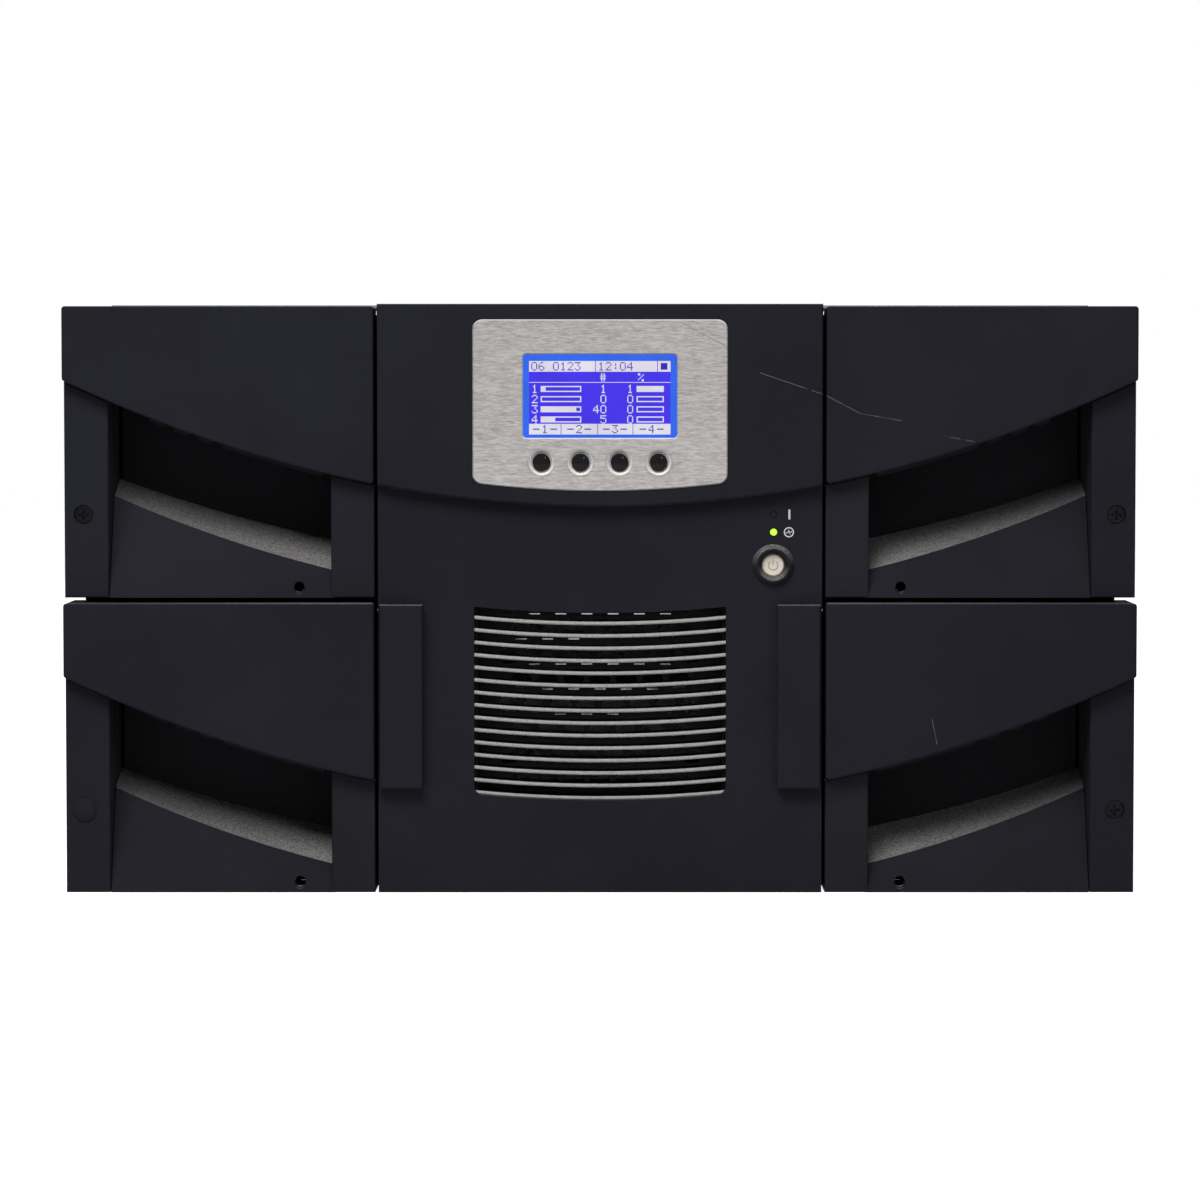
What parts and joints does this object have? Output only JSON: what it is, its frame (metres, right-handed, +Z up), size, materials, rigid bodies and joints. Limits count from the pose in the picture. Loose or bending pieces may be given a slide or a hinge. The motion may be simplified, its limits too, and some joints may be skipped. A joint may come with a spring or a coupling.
{
  "type": "data tape library",
  "caption": "Rack-mount tape library: black hooded magazine fronts on slides round a centre panel with display, keys and vent; robot, drive and supplies inside.",
  "frame": {"origin": "bottom of the chassis floor, below the middle of the whole unit", "axes": "+X to the right as one faces the front, +Y to the back, +Z up"},
  "size_m": [0.4826, 0.8, 0.2655],
  "materials": {
    "black_moulding": "fine satin texture",
    "black_screw": "black oxide",
    "sheet_steel": "zinc plated",
    "black_steel": "black powder coat",
    "brushed_plate": "brushed along its length",
    "lcd_glass": "clear",
    "lcd_body": "lit blue field",
    "black_key": "satin dome",
    "lit_key": "translucent cream",
    "lamp": "green lens",
    "cell_plastic": "matte",
    "bright_steel": "ground",
    "robot_alloy": "anodised",
    "robot_plastic": "matte",
    "belt_rubber": "matte",
    "drive_case": "satin"
  },
  "bodies": {
    "chassis": {"chassis_tray": "sheet_steel", "top_cover": "sheet_steel", "cover_screws": "bright_steel", "front_bulkhead": "black_steel", "rear_bay_walls": "sheet_steel", "bay_shelf_left": "sheet_steel", "bay_shelf_right": "sheet_steel", "magazine_runners": "robot_plastic", "ear_covers_left": "black_moulding", "ear_covers_right": "black_moulding", "rack_screws": "black_screw", "screw_cap": "black_moulding", "front_panel": "black_moulding", "vent_grille": "black_moulding", "display_plate": "brushed_plate", "lcd_window": "lcd_glass", "lcd_module": "lcd_body", "power_ring": "black_moulding", "status_lamps": "lamp", "lift_guide_rods": "bright_steel", "lift_motor": "black_steel", "rear_panel": "sheet_steel", "drive_bay_blanks": "sheet_steel", "drive_sled": "sheet_steel", "tape_drive": "drive_case", "power_supply_lower": "sheet_steel", "power_supply_upper": "sheet_steel", "controller": "sheet_steel"},
    "magazine_lower_left": {"hood_lower_left": "black_moulding", "pull_lower_left": "black_moulding", "cells_lower_left": "cell_plastic"},
    "magazine_lower_right": {"hood_lower_right": "black_moulding", "pull_lower_right": "black_moulding", "cells_lower_right": "cell_plastic"},
    "magazine_upper_left": {"hood_upper_left": "black_moulding", "pull_upper_left": "black_moulding", "cells_upper_left": "cell_plastic"},
    "magazine_upper_right": {"hood_upper_right": "black_moulding", "pull_upper_right": "black_moulding", "cells_upper_right": "cell_plastic"},
    "latch_lower_left_body": {"latch_lower_left": "bright_steel"},
    "latch_lower_right_body": {"latch_lower_right": "bright_steel"},
    "latch_upper_left_body": {"latch_upper_left": "bright_steel"},
    "latch_upper_right_body": {"latch_upper_right": "bright_steel"},
    "key_1": {"softkey_1": "black_key"},
    "key_2": {"softkey_2": "black_key"},
    "key_3": {"softkey_3": "black_key"},
    "key_4": {"softkey_4": "black_key"},
    "power_key": {"power_button": "lit_key"},
    "lift": {"lift_frame": "robot_alloy", "travel_belt": "belt_rubber", "travel_motor": "black_steel"},
    "lift_drive": {"lift_screw": "bright_steel"},
    "carriage": {"picker_carriage": "robot_alloy"},
    "pulley_drive": {"belt_pulley_drive": "bright_steel"},
    "pulley_idler": {"belt_pulley_idler": "bright_steel"},
    "picker": {"picker_housing": "robot_plastic"},
    "grip": {"gripper": "robot_plastic"},
    "fan_lower": {"supply_fan_lower": "robot_plastic"},
    "fan_upper": {"supply_fan_upper": "robot_plastic"}
  },
  "joints": [
    {"name": "magazine_lower_left_slide", "type": "slide", "parent": "chassis", "child": "magazine_lower_left", "axis": [0, -1, 0], "range_m": [0, 0.44]},
    {"name": "magazine_lower_right_slide", "type": "slide", "parent": "chassis", "child": "magazine_lower_right", "axis": [0, -1, 0], "range_m": [0, 0.44]},
    {"name": "magazine_upper_left_slide", "type": "slide", "parent": "chassis", "child": "magazine_upper_left", "axis": [0, -1, 0], "range_m": [0, 0.44]},
    {"name": "magazine_upper_right_slide", "type": "slide", "parent": "chassis", "child": "magazine_upper_right", "axis": [0, -1, 0], "range_m": [0, 0.44]},
    {"name": "latch_lower_left_swing", "type": "hinge", "parent": "chassis", "child": "latch_lower_left_body", "pos_m": [-0.1356, -0.3582, 0.0021], "axis": [-1, 0, 0], "range_deg": [-20, 0]},
    {"name": "latch_lower_right_swing", "type": "hinge", "parent": "chassis", "child": "latch_lower_right_body", "pos_m": [0.1356, -0.3582, 0.0021], "axis": [-1, 0, 0], "range_deg": [-20, 0]},
    {"name": "latch_upper_left_swing", "type": "hinge", "parent": "chassis", "child": "latch_upper_left_body", "pos_m": [-0.1356, -0.3582, 0.13545], "axis": [-1, 0, 0], "range_deg": [-20, 0]},
    {"name": "latch_upper_right_swing", "type": "hinge", "parent": "chassis", "child": "latch_upper_right_body", "pos_m": [0.1356, -0.3582, 0.13545], "axis": [-1, 0, 0], "range_deg": [-20, 0]},
    {"name": "softkey_1_press", "type": "slide", "parent": "chassis", "child": "key_1", "axis": [0, 1, 0], "range_m": [0, 0.001], "stiffness_N_per_m": 600},
    {"name": "softkey_2_press", "type": "slide", "parent": "chassis", "child": "key_2", "axis": [0, 1, 0], "range_m": [0, 0.001], "stiffness_N_per_m": 600},
    {"name": "softkey_3_press", "type": "slide", "parent": "chassis", "child": "key_3", "axis": [0, 1, 0], "range_m": [0, 0.001], "stiffness_N_per_m": 600},
    {"name": "softkey_4_press", "type": "slide", "parent": "chassis", "child": "key_4", "axis": [0, 1, 0], "range_m": [0, 0.001], "stiffness_N_per_m": 600},
    {"name": "power_press", "type": "slide", "parent": "chassis", "child": "power_key", "axis": [0, 1, 0], "range_m": [0, 0.001], "stiffness_N_per_m": 700},
    {"name": "robot_lift", "type": "slide", "parent": "chassis", "child": "lift", "axis": [0, 0, 1], "range_m": [0, 0.23175]},
    {"name": "lift_screw_spin", "type": "hinge", "parent": "chassis", "child": "lift_drive", "pos_m": [0.076, -0.33741, 0.0012], "axis": [0, 0, 1], "range_deg": [0, 8344]},
    {"name": "robot_travel", "type": "slide", "parent": "lift", "child": "carriage", "axis": [0, 1, 0], "range_m": [0, 0.336]},
    {"name": "pulley_drive_spin", "type": "hinge", "parent": "lift", "child": "pulley_drive", "pos_m": [0.1009, 0.12701, 0.007], "axis": [1, 0, 0], "range_deg": [-4279.08, 0]},
    {"name": "pulley_idler_spin", "type": "hinge", "parent": "lift", "child": "pulley_idler", "pos_m": [0.1009, -0.32741, 0.007], "axis": [1, 0, 0], "range_deg": [-4279.08, 0]},
    {"name": "picker_turn", "type": "hinge", "parent": "carriage", "child": "picker", "pos_m": [0, -0.2682, 0.0044], "axis": [0, 0, 1], "range_deg": [-90, 90]},
    {"name": "gripper_reach", "type": "slide", "parent": "picker", "child": "grip", "axis": [0, 1, 0], "range_m": [0, 0.117]},
    {"name": "fan_lower_spin", "type": "hinge", "parent": "chassis", "child": "fan_lower", "pos_m": [-0.18245, 0.3717, 0.069], "axis": [0, 1, 0], "continuous": true},
    {"name": "fan_upper_spin", "type": "hinge", "parent": "chassis", "child": "fan_upper", "pos_m": [-0.18245, 0.3717, 0.173], "axis": [0, 1, 0], "continuous": true}
  ],
  "couplings": [
    {"joint": "lift_screw_spin", "follows": "robot_lift", "rad_per_m": 628.32},
    {"joint": "pulley_drive_spin", "follows": "robot_travel", "rad_per_m": -222.22},
    {"joint": "pulley_idler_spin", "follows": "robot_travel", "rad_per_m": -222.22}
  ]
}
